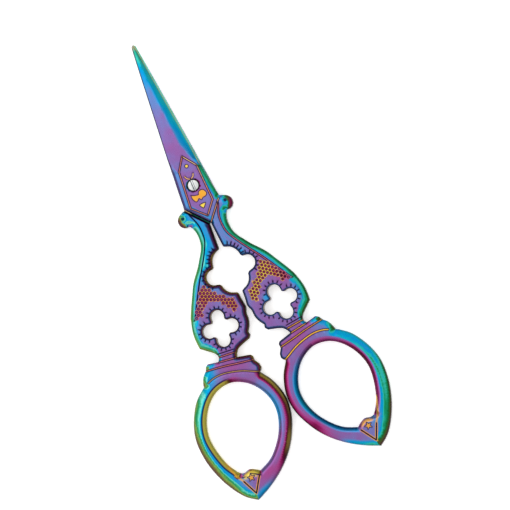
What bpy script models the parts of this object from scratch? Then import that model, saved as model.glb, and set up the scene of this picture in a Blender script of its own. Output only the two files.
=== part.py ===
"""Ornamental embroidery scissors, closed: two pierced steel halves on a slotted pivot screw.

Metres, +Z up. The origin is on the pivot's axis, in the plane that the scissors lie on.
+Y runs to the blade tips, and the front half's handle is on +X. Each half is one casting: a
blade and a pivot plate of half thickness, and a shank, a pierced panel, a collar and a finger
bow of full thickness. The back half is the same casting turned over about the lap's mid-line,
so only the front half is drawn. The front half opens by turning about +Z.
"""

import math

import bmesh
import bpy
from mathutils import Matrix, Vector
from mathutils.geometry import tessellate_polygon

MM = 0.001  # the sizes below are millimetres, scaled once when a mesh is made

# Heights
THICKNESS = 3.2  # the bows, and the two pivot plates together
PANEL_RELIEF = 0.1  # how far the pierced panel lies below the bow's face, on both sides
COLLAR_RELIEF = 0.05
LAP_GAP = 0.1  # between the two pivot plates
LAP_Z = (THICKNESS + LAP_GAP) / 2  # underside of the front half's pivot plate and blade

# Blade
TIP_Y = 42.0
BLADE_ROOT_Y = -5.1
PIVOT_HALF_WIDTH = 4.65  # at the pivot's axis
BLADE_TAPER = 0.0976  # loss of half width per millimetre towards the tip
ROOT_TAPER = 0.08  # the same, from the pivot back to the blade's root
EDGE_SETBACK = 0.25  # the cutting edge stops this far short of the other blade's spine
SPINE_CHAMFER = 0.35
TIP_THICKNESS = 0.6

# Handle
PANEL_CHAMFER = 0.4
BOW_ROUNDING = 0.95
SHOULDER_CLEARANCE = 0.3  # from the full-thickness shank to the other half's pivot plate
QUATREFOIL_CENTRE = (9.0, -38.6)
QUATREFOIL_TURN = 8.0  # degrees
LOBE_DISTANCE = 3.2
LOBE_RADIUS = 1.9
CUSP_RADIUS = 0.7

# Pivot
HEAD_RADIUS = 1.5
HEAD_TOP = 3.3
HEAD_UNDERSIDE = 2.2
HEAD_CHAMFER = 0.15
SHOULDER_RADIUS = 1.1
THREAD_RADIUS = 0.95
THREAD_DEPTH = 0.14
THREAD_PITCH = 0.4
BORE_RADIUS = 1.15
COUNTERBORE_RADIUS = 1.7
COUNTERBORE_FLOOR = 2.1
THREADED_HOLE_RADIUS = 1.0
SLOT_WIDTH = 0.65
SLOT_DEPTH = 0.35
ROUND_SEGMENTS = 40


def arc(centre, radius, start, end, steps):
    """Points on a circle, from the start angle to the end angle, in degrees."""
    angles = [math.radians(start + (end - start) * i / steps) for i in range(steps + 1)]
    return [(centre[0] + radius * math.cos(a), centre[1] + radius * math.sin(a)) for a in angles]


def smooth(points, steps=3):
    """Points on a Catmull-Rom curve that starts and ends at the first and last point."""
    knots = [Vector(p) for p in points]
    knots = [2 * knots[0] - knots[1]] + knots + [2 * knots[-1] - knots[-2]]
    curve = []
    for a, b, c, d in zip(knots, knots[1:], knots[2:], knots[3:]):
        for i in range(steps):
            t = i / steps
            point = 2 * b + t * (c - a) + t**2 * (2 * a - 5 * b + 4 * c - d)
            curve.append(tuple((point + t**3 * (3 * b - 3 * c + d - a)) / 2))
    return curve + [tuple(points[-1])]


def without_repeats(points):
    """The closed outline with each point that repeats the one before it left out."""
    return [p for p, q in zip(points, points[-1:] + points[:-1]) if math.dist(p, q) > 0.02]


def inset(points, distance):
    """The closed outline moved to its left by a distance, with mitred corners."""
    moved = []
    for before, here, after in zip(points[-1:] + points[:-1], points, points[1:] + points[:1]):
        sides = [(Vector(here) - Vector(before)).normalized(), (Vector(after) - Vector(here)).normalized()]
        normals = [Vector((-side.y, side.x)) for side in sides]
        mitre = normals[0] + normals[1]
        moved.append(tuple(Vector(here) + mitre * distance / max(mitre.dot(normals[0]), 0.5)))
    return moved


def chamfered(low, high, chamfer):
    """A plate's rim as (inset, height) levels from its underside to its face."""
    return [(chamfer, low), (0, low + chamfer), (0, high - chamfer), (chamfer, high)]


def rounded(low, high, radius, steps):
    """A plate's rim with quarter-round edges, as (inset, height) levels."""
    corner = [(1 - math.sin(a), 1 - math.cos(a)) for a in (math.pi / 2 * i / steps for i in range(steps + 1))]
    lower = [(radius * across, low + radius * up) for across, up in corner]
    return lower + [(across, low + high - z) for across, z in reversed(lower)]


def half_width(y):
    """Half the width of the closed blades at a distance from the pivot."""
    return PIVOT_HALF_WIDTH - y * (BLADE_TAPER if y > 0 else ROOT_TAPER)


def plate(outline, rim, holes=()):
    """A flat closed body. The outline runs anticlockwise and each hole clockwise."""
    shape = bmesh.new()
    loops = [without_repeats(list(loop)) for loop in (outline, *holes)]
    levels = [[[(*p, z) for p in inset(loop, across)] for loop in loops] for across, z in rim]
    rings = [[[shape.verts.new(p) for p in loop] for loop in level] for level in levels]
    for lower, upper in zip(rings, rings[1:]):
        for low_ring, high_ring in zip(lower, upper):
            for i, corner in enumerate(low_ring):
                shape.faces.new((low_ring[i - 1], corner, high_ring[i], high_ring[i - 1]))
    for level, ring_level, underside in ((levels[0], rings[0], True), (levels[-1], rings[-1], False)):
        corners = [vertex for ring in ring_level for vertex in ring]
        for face in tessellate_polygon([[Vector(p) for p in loop] for loop in level]):
            first, second, third = [corners[i].co.to_2d() for i in face]
            anticlockwise = (second - first).cross(third - first) > 0
            order = face if anticlockwise != underside else face[::-1]
            shape.faces.new([corners[i] for i in order])
    return finished(shape)


def loft(sections):
    """A closed body through sections of the same number of points, given from -Y to +Y."""
    shape = bmesh.new()
    rings = [[shape.verts.new(p) for p in section] for section in sections]
    for near, far in zip(rings, rings[1:]):
        for i, corner in enumerate(near):
            shape.faces.new((near[i - 1], corner, far[i], far[i - 1]))
    shape.faces.new(rings[0])
    shape.faces.new(rings[-1])
    return finished(shape)


def turned(rows, radius_at=lambda row_radius, z, angle: row_radius):
    """A closed body round the pivot's axis, from (radius, height) rows given upwards."""
    shape = bmesh.new()
    angles = [2 * math.pi * i / ROUND_SEGMENTS for i in range(ROUND_SEGMENTS)]
    rings = []
    for row_radius, z in rows:
        radii = [radius_at(row_radius, z, a) for a in angles]
        points = [(r * math.cos(a), r * math.sin(a), z) for r, a in zip(radii, angles)]
        rings.append([shape.verts.new(p) for p in points])
    for low, high in zip(rings, rings[1:]):
        for i, corner in enumerate(low):
            shape.faces.new((low[i - 1], corner, high[i], high[i - 1]))
    shape.faces.new(rings[0])
    shape.faces.new(rings[-1])
    return finished(shape)


def finished(shape):
    """The mesh in metres, with its faces pointing out."""
    bmesh.ops.scale(shape, vec=(MM, MM, MM), verts=shape.verts)
    bmesh.ops.recalc_face_normals(shape, faces=shape.faces)
    mesh = bpy.data.meshes.new("shape")
    shape.to_mesh(mesh)
    shape.free()
    return mesh


def quatrefoil():
    """The pierced four-lobed hole: lobes joined by round cusps that are tangent to them."""
    reach = LOBE_RADIUS + CUSP_RADIUS
    across = (LOBE_DISTANCE + math.sqrt(2 * reach**2 - LOBE_DISTANCE**2)) / 2
    tangent = math.degrees(math.atan2(across, across - LOBE_DISTANCE))
    loop = []
    for quarter in range(4):
        turn = QUATREFOIL_TURN + 90 * quarter
        lobe = arc(QUATREFOIL_CENTRE, LOBE_DISTANCE, turn, turn, 1)[0]
        cusp = arc(QUATREFOIL_CENTRE, across * math.sqrt(2), turn + 45, turn + 45, 1)[0]
        loop += arc(lobe, LOBE_RADIUS, turn - tangent, turn + tangent, 12)
        loop += arc(cusp, CUSP_RADIUS, turn + tangent + 180, turn + 270 - tangent, 4)
    return loop[::-1]


def shank_and_panel():
    """The full-thickness outline from the shoulder at the pivot plate down into the collar."""
    along = Vector((-half_width(BLADE_ROOT_Y) - 0.2, 6.2)).normalized()
    clear = Vector((half_width(BLADE_ROOT_Y), BLADE_ROOT_Y)) + SHOULDER_CLEARANCE * Vector((along.y, along.x))
    inner_x = 0.3
    shoulder = (inner_x, clear.y + (clear.x - inner_x) * along.y / along.x)
    inner_edge = [shoulder, (inner_x, -12.0), (0.7, -18.5)]
    top_lobe = arc((0.2, -22.6), 3.9, 78, 8, 8)
    upper_cusp = arc((4.7, -22.5), 0.5, 200, 270, 3)
    side_lobe = arc((5.05, -25.2), 2.15, 85, -85, 10)
    lower_cusp = arc((4.7, -28.0), 0.5, 90, 170, 3)
    bottom_lobe = arc((0.6, -27.9), 3.4, -3, -75, 7)
    flank_corner = arc((1.15, -31.9), 0.5, 100, 180, 3)
    upper_flank = [(0.55, -33.6), (0.25, -35.8)]
    lower_flank = smooth([(0.45, -36.6), (0.85, -37.6), (0.95, -39.3), (1.5, -41.0), (2.45, -42.5)], 2)
    foot = [(2.25, -43.4), (2.85, -44.2)] + smooth([(5.0, -44.8), (6.7, -45.5), (7.7, -46.6)], 2)
    into_collar = [(8.0, -48.8), (13.4, -48.3)]
    neck = smooth([(13.2, -46.7), (12.7, -45.9), (12.7, -45.0), (13.3, -44.1)], 2)
    outer_lobe = smooth([(16.5, -41.4), (16.65, -39.5), (16.6, -37.4), (16.2, -35.3), (15.85, -34.1)], 2)
    flare = [(15.5, -32.9), (14.3, -30.5), (12.6, -27.4), (10.75, -24.2), (8.1, -21.0)]
    waist = [(6.55, -18.8), (5.35, -17.0), (4.7, -15.3), (4.5, -13.5), (4.6, -12.0), (5.05, -10.6)]
    ear = [(5.6, -9.8), (6.7, -9.8), (7.65, -9.2), (8.1, -8.1), (7.95, -7.0), (7.2, -6.1), (6.2, -5.6)]
    loop = inner_edge + top_lobe + upper_cusp + side_lobe + lower_cusp + bottom_lobe + flank_corner
    loop += upper_flank + lower_flank + foot + into_collar + neck + outer_lobe
    return loop + smooth(flare + waist, 2) + smooth(ear) + [tuple(clear)]


def collar():
    """The stepped collar between the neck and the bow, ending inside the bow's band."""
    inner_end = [(8.2, -47.5), (4.4, -48.4), (3.95, -49.0), (4.0, -50.2), (3.15, -51.5), (3.0, -52.6)]
    band = smooth([(3.7, -53.4), (7.8, -52.2), (14.0, -51.2), (18.5, -52.0)], 4)
    outer_end = [(19.6, -51.0), (19.1, -49.6), (18.5, -48.6), (17.4, -47.6), (16.9, -46.6), (16.2, -46.1)]
    return inner_end + band + outer_end + [(13.3, -46.7)]


def bow_outer():
    """The bow's outer edge: an egg drawn out to a point at its foot."""
    point = (18.3, -85.3)
    right = [point, (21.0, -83.3), (23.2, -80.5), (25.3, -76.6), (26.9, -72.0), (27.6, -67.8), (27.6, -64.0)]
    top = [(26.8, -60.6), (25.3, -57.3), (23.2, -54.2), (20.6, -52.0), (17.6, -50.6), (14.0, -50.1)]
    left = [(10.5, -50.4), (7.0, -51.6), (3.9, -53.7), (1.8, -56.9), (0.55, -60.4), (0.1, -63.9)]
    foot = [(0.7, -67.8), (2.1, -71.3), (4.1, -74.8), (6.8, -78.0), (10.2, -80.9), (14.2, -83.4), point]
    return smooth(right + top + left + foot)[:-1]


def bow_hole():
    """The finger hole, with the crest's bump at its foot. It runs clockwise."""
    crest = smooth([(14.6, -78.2), (15.7, -77.4), (17.2, -76.7), (18.6, -77.0), (19.6, -76.9), (20.6, -76.0)])
    left = [(14.6, -78.2), (11.1, -76.6), (8.4, -74.2), (6.0, -71.0), (4.4, -67.3), (3.9, -64.0)]
    top = [(4.4, -60.9), (6.0, -57.6), (8.6, -54.9), (12.4, -53.2), (16.6, -53.7), (20.0, -56.0)]
    right = [(22.6, -59.7), (23.9, -64.0), (23.6, -68.4), (22.3, -73.0), (20.6, -76.0)]
    return smooth(left + top + right) + crest[::-1]


def pivot_plate():
    """The half-thickness plate round the pivot, ending inside the shank."""
    root = half_width(BLADE_ROOT_Y)
    blade_end = 7.0
    edge = half_width(blade_end) - EDGE_SETBACK
    lower = [(-root, BLADE_ROOT_Y), (0.2, -11.3), (0.7, -12.4), (3.6, -12.4), (4.6, -9.0)]
    return lower + [(root, BLADE_ROOT_Y - 0.4), (edge, blade_end), (-half_width(blade_end), blade_end)]


def blade_section(y, ridge, crown, edge_height):
    """Points of one cross-section, from the spine's foot round by the ridge to the edge."""
    spine = -half_width(y)
    edge = half_width(y) - EDGE_SETBACK
    chamfer = min(SPINE_CHAMFER, (crown - LAP_Z) / 2)
    upper = [(spine, y, crown - chamfer), (spine + chamfer, y, crown), (ridge, y, crown)]
    return [(spine, y, LAP_Z)] + upper + [(edge, y, LAP_Z + edge_height), (edge, y, LAP_Z)]


def blade():
    """The blade: a flat lap side, a level facet by the spine and a ground facet by the edge."""
    tip_crown = LAP_Z + TIP_THICKNESS
    return loft([
        blade_section(5.0, 3.5, THICKNESS, 0.9),
        blade_section(7.5, 2.5, THICKNESS, 0.5),
        blade_section(12.0, 1.2, THICKNESS, 0.12),
        blade_section(32.0, 0.0, THICKNESS - 0.35, 0.12),
        blade_section(TIP_Y - 0.5, 0.0, tip_crown, 0.12),
        [(x * 0.45, TIP_Y, z) for x, _, z in blade_section(TIP_Y, 0.0, tip_crown, 0.12)],
    ])


def screw():
    """The screw before its slot is cut: threaded end, shoulder that the front half turns on, and head."""
    thread_end = 1.45
    rows = [(0.8, 0.0), (0.9, 0.1)]
    turns = int((thread_end - 0.15) / THREAD_PITCH * 4)
    rows += [(THREAD_RADIUS, 0.15 + THREAD_PITCH / 4 * i) for i in range(turns + 1)]
    rows += [(0.8, thread_end + 0.05), (0.8, LAP_Z - LAP_GAP / 2), (SHOULDER_RADIUS, LAP_Z - LAP_GAP / 2)]
    rows += [(SHOULDER_RADIUS, HEAD_UNDERSIDE), (HEAD_RADIUS, HEAD_UNDERSIDE)]
    rows += [(HEAD_RADIUS, HEAD_TOP - HEAD_CHAMFER), (HEAD_RADIUS - HEAD_CHAMFER, HEAD_TOP)]

    def radius(row_radius, z, angle):
        if row_radius != THREAD_RADIUS:
            return row_radius
        along = (z / THREAD_PITCH - angle / (2 * math.pi)) % 1
        return row_radius - THREAD_DEPTH * abs(2 * along - 1)

    return turned(rows, radius)


def material(name, colour, roughness):
    """A metal with a Principled BSDF."""
    metal = bpy.data.materials.new(name)
    metal.use_nodes = True
    shader = metal.node_tree.nodes["Principled BSDF"]
    shader.inputs["Base Color"].default_value = (*colour, 1)
    shader.inputs["Metallic"].default_value = 1.0
    shader.inputs["Roughness"].default_value = roughness
    return metal


def add_object(name, mesh, place=None, metal=None):
    """An object from a mesh, shaded smooth except at its edges."""
    mesh.name = name
    mesh.shade_smooth()
    mesh.set_sharp_from_angle(angle=math.radians(30))
    thing = bpy.data.objects.new(name, mesh)
    bpy.context.collection.objects.link(thing)
    thing.matrix_world = place or Matrix.Identity(4)
    if metal:
        mesh.materials.append(metal)
    return thing


def combine(target, operation, name, mesh):
    """Joins a mesh to a target, or cuts it away, with a hidden helper in the target's place."""
    helper = add_object(name, mesh, target.matrix_world.copy())
    helper.hide_render = True
    helper.display_type = "WIRE"
    change = target.modifiers.new(name, "BOOLEAN")
    change.operation = operation
    change.solver = "EXACT"
    change.object = helper


def build_half(name, place, metal, holes):
    """One half, with the given (radius, underside, top) round holes on the pivot's axis."""
    panel_rim = chamfered(PANEL_RELIEF, THICKNESS - PANEL_RELIEF, PANEL_CHAMFER)
    collar_rim = chamfered(COLLAR_RELIEF, THICKNESS - COLLAR_RELIEF, PANEL_CHAMFER)
    plate_rim = [(0, LAP_Z), (0, THICKNESS - 0.6), (0.5, THICKNESS)]
    half = add_object(name, plate(shank_and_panel(), panel_rim, [quatrefoil()]), place, metal)
    combine(half, "UNION", name + "_pivot_plate", plate(pivot_plate(), plate_rim))
    combine(half, "UNION", name + "_blade", blade())
    combine(half, "UNION", name + "_collar", plate(collar(), collar_rim))
    bow_rim = rounded(0, THICKNESS, BOW_ROUNDING, 3)
    combine(half, "UNION", name + "_bow", plate(bow_outer(), bow_rim, [bow_hole()]))
    for index, (radius, low, high) in enumerate(holes):
        combine(half, "DIFFERENCE", f"{name}_hole_{index}", turned([(radius, low), (radius, high)]))
    return half


def build_screw(metal):
    """The pivot screw, with the driver slot cut across its head."""
    pivot_screw = add_object("pivot_screw", screw(), None, metal)
    slot = bmesh.new()
    bmesh.ops.create_cube(slot, size=1)
    size = (SLOT_WIDTH, 3 * HEAD_RADIUS, 2 * SLOT_DEPTH)
    bmesh.ops.scale(slot, vec=size, verts=slot.verts)
    bmesh.ops.translate(slot, vec=(0, 0, HEAD_TOP), verts=slot.verts)
    combine(pivot_screw, "DIFFERENCE", "pivot_screw_slot", finished(slot))


def main():
    for thing in list(bpy.data.objects):
        bpy.data.objects.remove(thing, do_unlink=True)
    turned_over = Matrix.Translation((0, 0, THICKNESS * MM)) @ Matrix.Rotation(math.pi, 4, "Y")
    above, below = THICKNESS + 1, LAP_Z - 1
    front_holes = [(BORE_RADIUS, below, above), (COUNTERBORE_RADIUS, COUNTERBORE_FLOOR, above)]
    violet = material("violet_coating", (0.29, 0.11, 0.46), 0.25)
    blue = material("blue_coating", (0.03, 0.28, 0.55), 0.25)
    build_half("front_half", Matrix.Identity(4), violet, front_holes)
    build_half("back_half", turned_over, blue, [(THREADED_HOLE_RADIUS, below, above)])
    build_screw(material("bare_steel", (0.78, 0.78, 0.80), 0.22))


main()
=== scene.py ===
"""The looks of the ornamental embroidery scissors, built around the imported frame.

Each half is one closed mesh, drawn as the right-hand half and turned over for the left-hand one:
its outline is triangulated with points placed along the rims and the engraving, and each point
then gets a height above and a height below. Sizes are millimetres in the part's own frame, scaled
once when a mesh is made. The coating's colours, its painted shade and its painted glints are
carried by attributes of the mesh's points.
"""

import math
from copy import deepcopy

import bpy
import numpy as np
from mathutils import Matrix, Vector
from mathutils.geometry import delaunay_2d_cdt
from mathutils.kdtree import KDTree


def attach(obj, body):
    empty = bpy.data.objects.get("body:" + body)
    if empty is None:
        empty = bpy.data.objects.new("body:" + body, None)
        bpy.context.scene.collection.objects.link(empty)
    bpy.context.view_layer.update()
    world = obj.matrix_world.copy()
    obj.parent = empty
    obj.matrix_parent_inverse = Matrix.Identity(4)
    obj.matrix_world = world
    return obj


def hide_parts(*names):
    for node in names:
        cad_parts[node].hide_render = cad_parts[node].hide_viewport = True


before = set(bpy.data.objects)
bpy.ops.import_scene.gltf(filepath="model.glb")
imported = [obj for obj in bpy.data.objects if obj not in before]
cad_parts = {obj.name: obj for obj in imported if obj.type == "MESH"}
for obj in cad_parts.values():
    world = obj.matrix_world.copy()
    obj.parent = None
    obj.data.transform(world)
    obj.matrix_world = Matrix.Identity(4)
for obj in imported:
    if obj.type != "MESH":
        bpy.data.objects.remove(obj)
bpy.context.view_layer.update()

MM = 0.001
FINE = 1  # spacing of the points, as a multiple of the final one

# Heights and plan sizes, as in the CAD model
THICKNESS = 3.2
LAP_Z = 1.65
PANEL_RELIEF = 0.1
COLLAR_RELIEF = 0.05
PIVOT_HALF_WIDTH = 4.65
BLADE_TAPER = 0.0976
ROOT_TAPER = 0.08
BLADE_ROOT_Y = -5.1
EDGE_SETBACK = 0.25
TIP_Y = 42
QUATREFOIL_CENTRE = (9, -38.6)
QUATREFOIL_TURN = 8
LOBE_DISTANCE = 3.2
LOBE_RADIUS = 1.9
CUSP_RADIUS = 0.7
BORE_RADIUS = 1.15
COUNTERBORE_RADIUS = 1.7
COUNTERBORE_FLOOR = 2.1
THREADED_HOLE_RADIUS = 1
HEAD_RADIUS = 1.5
HEAD_TOP = 3.3
SLOT_WIDTH = 0.65
SLOT_DEPTH = 0.35
THREAD_RADIUS = 0.95
THREAD_DEPTH = 0.14
THREAD_PITCH = 0.4
SCREW_SHOULDER_RADIUS = 1.1
SCREW_SHOULDER_Z = 1.6
HEAD_UNDERSIDE = 2.2

# The line where the handle steps down to the lap, that step's bevel, and where the blade starts
SHOULDER_TOP = (5.26, -5.27)
SHOULDER_FOOT = (0.3, -11.17)
SHOULDER_BEVEL = 0.45
SHOULDER_DROP = 0.8
BLADE_START_Y = 4.5

# Spacing of the mesh's points
RIM_SPACING = 0.22 * FINE
GRID_SPACING = 0.42 * FINE
LINE_SPACING = 0.16 * FINE
COMB_SPACING = 0.15 * FINE
DETAIL_STEP = 0.03  # the engraving's points are rounded to this
STEP_WIDTH = 0.03  # plan width of a step that stands for an upright wall inside the outline
# Rows of points inside an edge, as shares of its bevel's width and of its steeper bevel's width
RIM_ROWS = [(share, 0) for share in (0.07, 0.22, 0.45, 0.72, 0.97, 1.06)]
RIM_ROWS += [(0, share) for share in (0.5, 0.97, 1.06)]


def bevel(width, drop, power=2, round_share=0, steep=(0, 0), run=0, turned=1, edge_shade=0,
          hole=0, spine=0, lap=0, cut=0, curve=1.25):
    """An edge: its bevel, the steeper bevel outside that, how the film colours them, and how much painted
    shade darkens them.
    """
    return (width, drop, power, round_share, *steep, curve, run, turned, edge_shade, hole, spine, lap, cut)


RIMS = {
    "spine": bevel(0.5, 0, steep=(0.32, 0.35), edge_shade=0.3, spine=1),
    "plate_top": bevel(1.1, 0.08, 1, steep=(0.5, 0.45), edge_shade=0.2, spine=1),
    "plate_left": bevel(1.75, 0.2, 1, steep=(0.8, 0.6), edge_shade=0.15, spine=1),
    "lap": bevel(1.4, 0.14, 1, steep=(0.9, 1.2), edge_shade=0.15, lap=1),
    "inner": bevel(0.7, 0.48, 1.4, edge_shade=0.3, cut=1),
    "pierced": bevel(0.5, 0.32, 1.5, edge_shade=0.2, cut=1),
    "bow_inner": bevel(1.55, 1, 2, 1),
    "bow_outer": bevel(2.4, 1.05, 2, 0.8, run=0.12),
    "collar_outer": bevel(1.3, 0.6, run=0.1),
    "neck": bevel(0.9, 0.6, edge_shade=0.3),
    "lobe": bevel(2.3, 0.2, steep=(1.1, 0.68), run=0.55, turned=0.6, curve=1.6),
    "flare": bevel(1.95, 0.04, 1, steep=(1.2, 0.72), run=1.02, turned=0, curve=1.6),
    "ear": bevel(1.3, 0.9, 2, 1, run=0.8, turned=0.75),
    "plate_right": bevel(1.25, 0.05, 1, steep=(0.95, 0.5), run=0.95, turned=0.2),
    "edge": bevel(0.2, 0),
    "hole": bevel(1.35, 0.1, 1, steep=(0.95, 0.9), hole=1),
    "bore": bevel(0.1, 0),
}
BACK_RIMS = RIMS | {
    "inner": bevel(1.1, 0.9, 1.6, edge_shade=0.75, cut=1),
    "pierced": bevel(0.65, 0.45, 1.6, edge_shade=0.55, cut=1),
    "bow_inner": bevel(1.75, 1.05, 2, 0.8, turned=1.5, edge_shade=0.3),
}
REACH = 2.4  # no rim is wider than this


# ---- outlines

def polar(centre, radius, angle):
    """The point at a distance and an angle, in degrees, from a centre."""
    turn = math.radians(angle)
    return centre[0] + radius * math.cos(turn), centre[1] + radius * math.sin(turn)


def arc(centre, radius, start, end):
    """Points on a circle about every 6 degrees, from the start angle to the end angle."""
    steps = max(2, round(abs(end - start) / 6))
    return [polar(centre, radius, angle) for angle in np.linspace(start, end, steps + 1)]


def smooth(points, steps=6):
    """Points on a Catmull-Rom curve that starts and ends at the first and last point."""
    knots = [Vector(p) for p in points]
    knots = [2 * knots[0] - knots[1]] + knots + [2 * knots[-1] - knots[-2]]
    curve = []
    for a, b, c, d in zip(knots, knots[1:], knots[2:], knots[3:]):
        for i in range(steps):
            t = i / steps
            point = 2 * b + t * (c - a) + t**2 * (2 * a - 5 * b + 4 * c - d)
            curve.append(tuple((point + t**3 * (3 * b - 3 * c + d - a)) / 2))
    return curve + [tuple(points[-1])]


def half_width(y):
    """Half the width of the closed blades at a distance from the pivot."""
    return PIVOT_HALF_WIDTH - y * (BLADE_TAPER if y > 0 else ROOT_TAPER)


def resampled(points, spacing):
    """The polyline with evenly spaced points, and with its corners kept."""
    pairs = zip(points, [None, *points])
    line = np.array([p for p, q in pairs if q is None or math.dist(p, q) > 1e-4])
    heading = np.arctan2(*np.diff(line, axis=0).T[::-1])
    turn = np.abs((np.diff(heading) + math.pi) % (2 * math.pi) - math.pi)
    corners = [0, *(np.flatnonzero(turn > math.radians(24)) + 1), len(line) - 1]
    runs = []
    for first, last in zip(corners, corners[1:]):
        run = line[first:last + 1]
        along = np.concatenate([[0], np.cumsum(np.linalg.norm(np.diff(run, axis=0), axis=1))])
        places = np.linspace(0, along[-1], max(1, round(along[-1] / spacing)) + 1)[:-1]
        runs.append(np.stack([np.interp(places, along, run[:, k]) for k in (0, 1)], axis=1))
    return np.concatenate(runs + [line[-1:]])


def outline():
    """The half's outline as stretches of (rim, points), anticlockwise from the tip's left corner."""
    root = half_width(BLADE_ROOT_Y)
    inner = [(0.3, -11.42), (0.3, -12), (0.7, -18.5)]
    inner += arc((0.2, -22.6), 3.9, 78, 8) + arc((4.7, -22.5), 0.5, 200, 270)
    inner += arc((5.05, -25.2), 2.15, 85, -85) + arc((4.7, -28), 0.5, 90, 170)
    inner += arc((0.6, -27.9), 3.4, -3, -75) + arc((1.15, -31.9), 0.5, 100, 180)
    inner += [(0.55, -33.6), (0.25, -35.8)]
    inner += smooth([(0.45, -36.6), (0.85, -37.6), (0.95, -39.3), (1.5, -41), (2.45, -42.5)])
    inner += [(2.25, -43.4), (2.85, -44.2)] + smooth([(5, -44.8), (6.7, -45.5), (7.7, -46.6)])
    collar = [(8.05, -47.5), (4.4, -48.4), (3.95, -49), (4, -50.2), (3.15, -51.5), (3, -52.6)]
    collar += [(3.4, -53.3)]
    point = (18.3, -85.3)
    bow_left = [(3.9, -53.7), (1.8, -56.9), (0.55, -60.4), (0.1, -63.9), (0.7, -67.8), (2.1, -71.3)]
    bow_left += [(4.1, -74.8), (6.8, -78), (10.2, -80.9), (14.2, -83.4), point]
    bow_right = [point, (21, -83.3), (23.2, -80.5), (25.3, -76.6), (26.9, -72), (27.6, -67.8)]
    bow_right += [(27.6, -64), (26.8, -60.6), (25.3, -57.3), (23.2, -54.2), (20.6, -52), (19.7, -51.5)]
    collar_outer = [(19.6, -51), (19.1, -49.6), (18.5, -48.6), (17.4, -47.6), (16.9, -46.6), (16.2, -46.1)]
    lobe = [(13.3, -44.1), (16.5, -41.4), (16.65, -39.5), (16.6, -37.4), (16.2, -35.3), (15.85, -34.1)]
    flare = [(15.5, -32.9), (14.3, -30.5), (12.6, -27.4), (10.75, -24.2), (8.1, -21)]
    waist = [(6.55, -18.8), (5.35, -17), (4.7, -15.3), (4.5, -13.5), (4.6, -12), (5.05, -10.6)]
    ear = [(5.6, -9.8), (6.7, -9.8), (7.65, -9.2), (8.1, -8.1), (7.95, -7), (7.2, -6.1), (6.2, -5.6)]
    edge = [(half_width(y) - EDGE_SETBACK, y) for y in (5, 41.5)]
    return [
        ("spine", [(-0.25, TIP_Y), (-half_width(41.5), 41.5), (-half_width(9), 9)]),
        ("plate_top", [(-half_width(8), 8)]),
        ("plate_left", [(-half_width(5.5), 5.5), (-half_width(0), 0), (-root, BLADE_ROOT_Y)]),
        ("lap", [(0.2, -11.3)]),
        ("inner", inner + collar),
        ("bow_inner", smooth(bow_left)),
        ("bow_outer", smooth(bow_right)),
        ("collar_outer", collar_outer + [(13.3, -46.7)]),
        ("neck", smooth([(13.2, -46.7), (12.7, -45.9), (12.7, -45), (13.3, -44.1)])),
        ("lobe", lobe[:1] + smooth(lobe[1:])),
        ("flare", smooth(flare + waist)),
        ("ear", smooth(ear)),
        ("plate_right", [(5.3, -5.3), (half_width(0) - 0.1, 0), (half_width(4) - EDGE_SETBACK, 4)]),
        ("edge", edge + [(0.13, TIP_Y)]),
    ]


def quatrefoil():
    """The pierced four-lobed hole, clockwise: lobes joined by round cusps that are tangent to them."""
    reach = LOBE_RADIUS + CUSP_RADIUS
    across = (LOBE_DISTANCE + math.sqrt(2 * reach**2 - LOBE_DISTANCE**2)) / 2
    tangent = math.degrees(math.atan2(across, across - LOBE_DISTANCE))
    loop = []
    for quarter in range(4):
        turn = QUATREFOIL_TURN + 90 * quarter
        lobe = polar(QUATREFOIL_CENTRE, LOBE_DISTANCE, turn)
        cusp = polar(QUATREFOIL_CENTRE, across * math.sqrt(2), turn + 45)
        loop += arc(lobe, LOBE_RADIUS, turn - tangent, turn + tangent)
        loop += arc(cusp, CUSP_RADIUS, turn + tangent + 180, turn + 270 - tangent)
    return loop[::-1]


def bow_hole():
    """The finger hole, with the crest's bump at its foot, clockwise."""
    crest = smooth([(14.6, -78.2), (15.7, -77.4), (17.2, -76.7), (18.6, -77), (19.6, -76.9), (20.6, -76)])
    left = [(14.6, -78.2), (11.1, -76.6), (8.4, -74.2), (6, -71), (4.4, -67.3), (3.9, -64)]
    top = [(4.4, -60.9), (6, -57.6), (8.6, -54.9), (12.4, -53.2), (16.6, -53.7), (20, -56)]
    right = [(22.6, -59.7), (23.9, -64), (23.6, -68.4), (22.3, -73), (20.6, -76)]
    return smooth(left + top + right) + crest[::-1]


def closed(stretches, rims):
    """A closed loop's points and the rim values at each, evened out along the loop."""
    points, values = [], []
    for index, (rim, stretch) in enumerate(stretches):
        following = stretches[(index + 1) % len(stretches)][1][0]
        run = resampled(list(stretch) + [following], RIM_SPACING)[:-1]
        points.append(run)
        values.append(np.tile(rims[rim], (len(run), 1)))
    points, values = np.concatenate(points), np.concatenate(values).astype(float)
    reach = max(1, round(0.7 / RIM_SPACING))
    evened = sum(np.roll(values, shift, axis=0) for shift in range(-reach, reach + 1)) / (2 * reach + 1)
    return points, evened


# ---- engraving

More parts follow.
